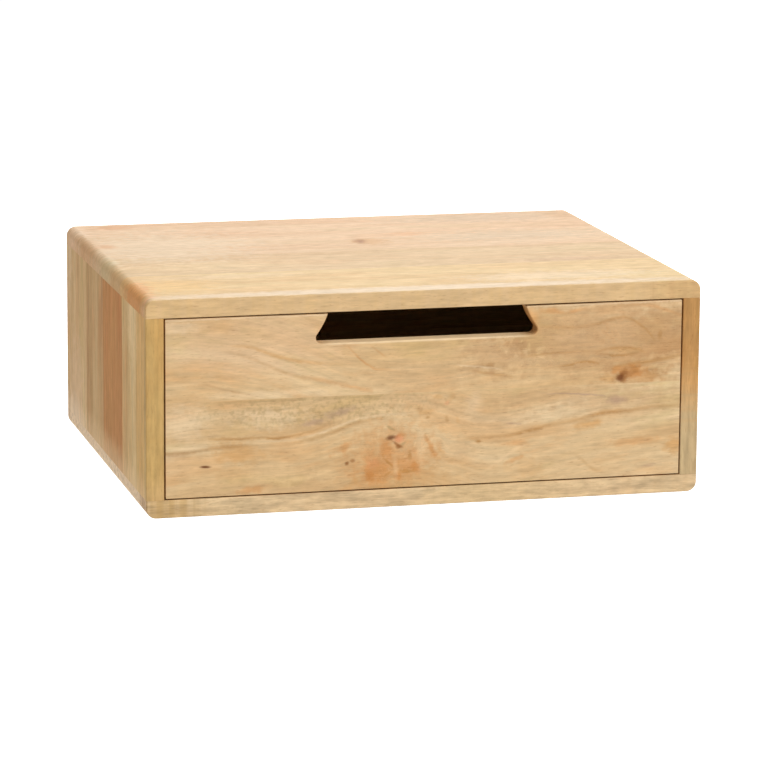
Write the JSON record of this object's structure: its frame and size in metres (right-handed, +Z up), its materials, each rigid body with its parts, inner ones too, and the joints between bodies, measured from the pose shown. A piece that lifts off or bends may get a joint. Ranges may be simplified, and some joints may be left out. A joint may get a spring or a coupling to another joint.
{
  "type": "floating nightstand",
  "caption": "Wall-hung solid wood box nightstand with rounded long edges and one inset drawer on ball-bearing slides, opened by a flared finger cut-out in its top edge.",
  "frame": {"origin": "middle of the underside", "axes": "+X to the right along the width as seen from the front, +Y towards the wall, +Z up; the drawer opens along -Y"},
  "size_m": [0.5, 0.4, 0.192],
  "materials": {
    "cabinet_wood": "solid mango boards, fine sanded, matt clear oil",
    "drawer_front_wood": "one figured mango board, fine sanded, matt clear oil",
    "drawer_box_wood": "plain sanded solid wood, thin clear coat",
    "plywood": "sanded hardwood plywood",
    "dowel_wood": "plain beech",
    "zinc_steel": "bright zinc-plated rolled steel",
    "screw_steel": "nickel-plated steel",
    "black_plastic": "moulded, fine matt"
  },
  "bodies": {
    "cabinet": {"top_panel": "cabinet_wood", "bottom_panel": "cabinet_wood", "left_side_panel": "cabinet_wood", "right_side_panel": "cabinet_wood", "back_panel": "plywood", "hanging_rail": "cabinet_wood", "dowel_top_left_front": "dowel_wood", "dowel_top_left_middle": "dowel_wood", "dowel_top_left_rear": "dowel_wood", "dowel_top_right_front": "dowel_wood", "dowel_top_right_middle": "dowel_wood", "dowel_top_right_rear": "dowel_wood", "dowel_bottom_left_front": "dowel_wood", "dowel_bottom_left_middle": "dowel_wood", "dowel_bottom_left_rear": "dowel_wood", "dowel_bottom_right_front": "dowel_wood", "dowel_bottom_right_middle": "dowel_wood", "dowel_bottom_right_rear": "dowel_wood", "dowel_rail_left": "dowel_wood", "dowel_rail_right": "dowel_wood", "left_hanger_plate": "zinc_steel", "right_hanger_plate": "zinc_steel", "left_hanger_screw_lower": "screw_steel", "left_hanger_screw_upper": "screw_steel", "right_hanger_screw_lower": "screw_steel", "right_hanger_screw_upper": "screw_steel", "left_slide_outer": "zinc_steel", "right_slide_outer": "zinc_steel", "left_slide_bumper": "black_plastic", "right_slide_bumper": "black_plastic", "left_outer_screw_front": "screw_steel", "left_outer_screw_rear": "screw_steel", "right_outer_screw_front": "screw_steel", "right_outer_screw_rear": "screw_steel"},
    "drawer": {"drawer_front": "drawer_front_wood", "drawer_left_side": "drawer_box_wood", "drawer_right_side": "drawer_box_wood", "drawer_back": "drawer_box_wood", "drawer_bottom": "plywood", "drawer_bottom_screw_left": "screw_steel", "drawer_bottom_screw_right": "screw_steel", "drawer_dowel_left_lower": "dowel_wood", "drawer_dowel_left_upper": "dowel_wood", "drawer_dowel_right_lower": "dowel_wood", "drawer_dowel_right_upper": "dowel_wood", "left_slide_inner": "zinc_steel", "right_slide_inner": "zinc_steel", "left_inner_screw_front": "screw_steel", "left_inner_screw_rear": "screw_steel", "right_inner_screw_front": "screw_steel", "right_inner_screw_rear": "screw_steel"},
    "left_middle": {"left_slide_middle": "zinc_steel"},
    "right_middle": {"right_slide_middle": "zinc_steel"},
    "left_outer_cage": {"left_outer_ball_cage": "zinc_steel"},
    "right_outer_cage": {"right_outer_ball_cage": "zinc_steel"},
    "left_inner_cage": {"left_inner_ball_cage": "zinc_steel"},
    "right_inner_cage": {"right_inner_ball_cage": "zinc_steel"},
    "left_lever": {"left_release_lever": "black_plastic"},
    "right_lever": {"right_release_lever": "black_plastic"}
  },
  "joints": [
    {"name": "drawer_slide", "type": "slide", "parent": "cabinet", "child": "drawer", "axis": [0, -1, 0], "range_m": [0, 0.35]},
    {"name": "left_middle_slide", "type": "slide", "parent": "cabinet", "child": "left_middle", "axis": [0, -1, 0], "range_m": [0, 0.175]},
    {"name": "right_middle_slide", "type": "slide", "parent": "cabinet", "child": "right_middle", "axis": [0, -1, 0], "range_m": [0, 0.175]},
    {"name": "left_outer_cage_slide", "type": "slide", "parent": "cabinet", "child": "left_outer_cage", "axis": [0, -1, 0], "range_m": [0, 0.0875]},
    {"name": "right_outer_cage_slide", "type": "slide", "parent": "cabinet", "child": "right_outer_cage", "axis": [0, -1, 0], "range_m": [0, 0.0875]},
    {"name": "left_inner_cage_slide", "type": "slide", "parent": "cabinet", "child": "left_inner_cage", "axis": [0, -1, 0], "range_m": [0, 0.2625]},
    {"name": "right_inner_cage_slide", "type": "slide", "parent": "cabinet", "child": "right_inner_cage", "axis": [0, -1, 0], "range_m": [0, 0.2625]},
    {"name": "left_lever_pivot", "type": "hinge", "parent": "drawer", "child": "left_lever", "pos_m": [-0.2234, 0.0783, 0.08475], "axis": [1, 0, 0], "range_deg": [-8, 8], "stiffness_Nm_per_rad": 0.01},
    {"name": "right_lever_pivot", "type": "hinge", "parent": "drawer", "child": "right_lever", "pos_m": [0.2234, 0.0783, 0.08475], "axis": [1, 0, 0], "range_deg": [-8, 8], "stiffness_Nm_per_rad": 0.01}
  ],
  "couplings": [
    {"joint": "left_middle_slide", "follows": "drawer_slide", "ratio": 0.5},
    {"joint": "right_middle_slide", "follows": "drawer_slide", "ratio": 0.5},
    {"joint": "left_outer_cage_slide", "follows": "drawer_slide", "ratio": 0.25},
    {"joint": "right_outer_cage_slide", "follows": "drawer_slide", "ratio": 0.25},
    {"joint": "left_inner_cage_slide", "follows": "drawer_slide", "ratio": 0.75},
    {"joint": "right_inner_cage_slide", "follows": "drawer_slide", "ratio": 0.75}
  ]
}
